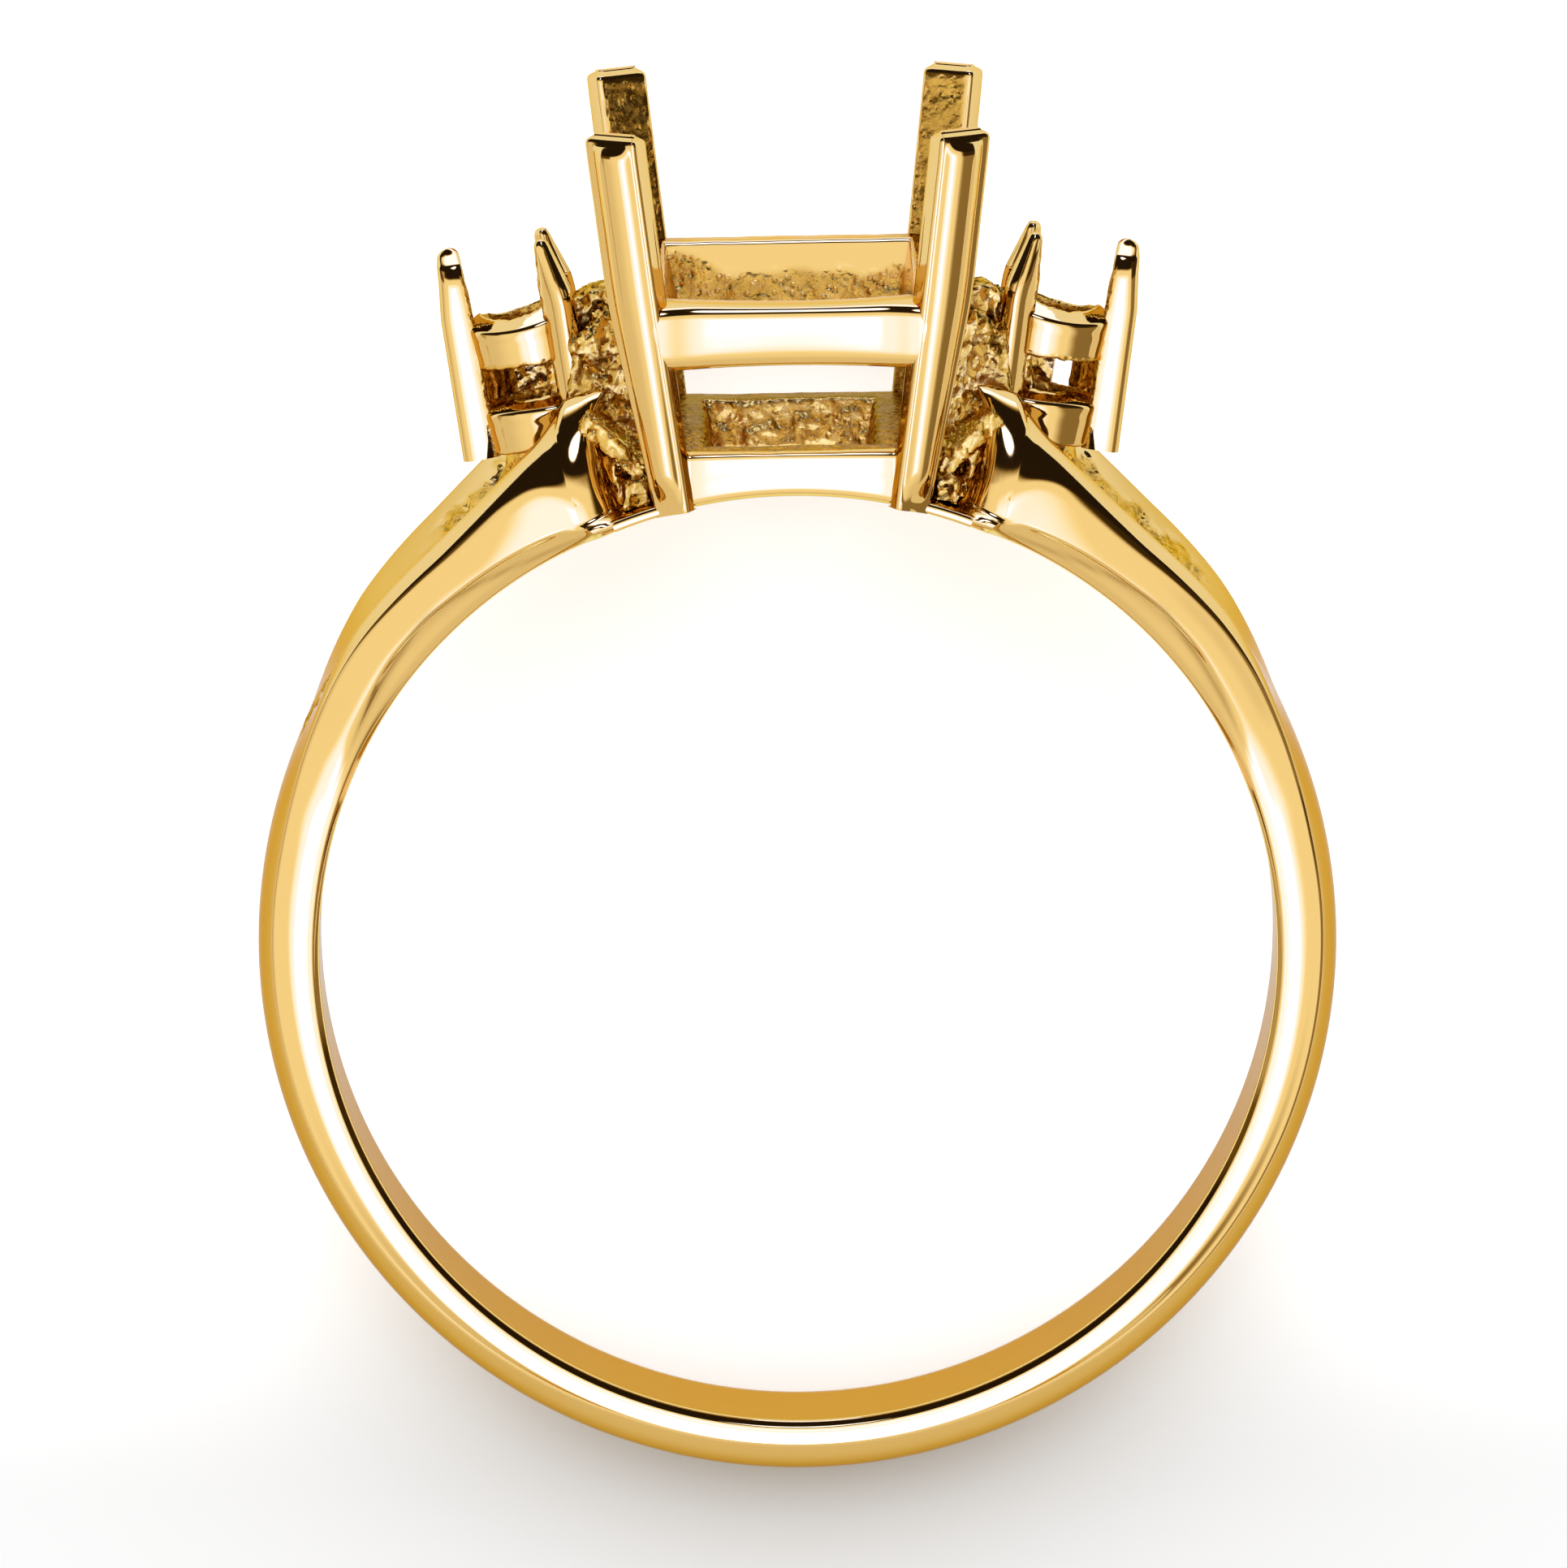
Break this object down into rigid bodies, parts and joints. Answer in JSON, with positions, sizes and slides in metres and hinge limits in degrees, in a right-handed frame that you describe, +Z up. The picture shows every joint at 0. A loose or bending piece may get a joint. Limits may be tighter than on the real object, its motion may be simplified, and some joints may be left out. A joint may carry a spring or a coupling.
{
  "type": "semi mount ring setting",
  "caption": "Unset gold ring mount: a split shank, a tall prong head for an oblong centre stone and a small prong head on each shoulder.",
  "frame": {"origin": "on the resting surface, under the centre of the ring's box as it lies on its side", "axes": "+Z up, +Y from the bottom of the band towards the heads, X across the shoulders; the finger hole's axis leans 7.5 degrees off Z, because the ring rests on its band and on two prong tips"},
  "size_m": [0.0196, 0.0256, 0.0092],
  "materials": {
    "gold": "polished 14 carat yellow gold, rough cast in the recesses"
  },
  "bodies": {
    "root": {"ring_setting": "gold"}
  },
  "joints": []
}
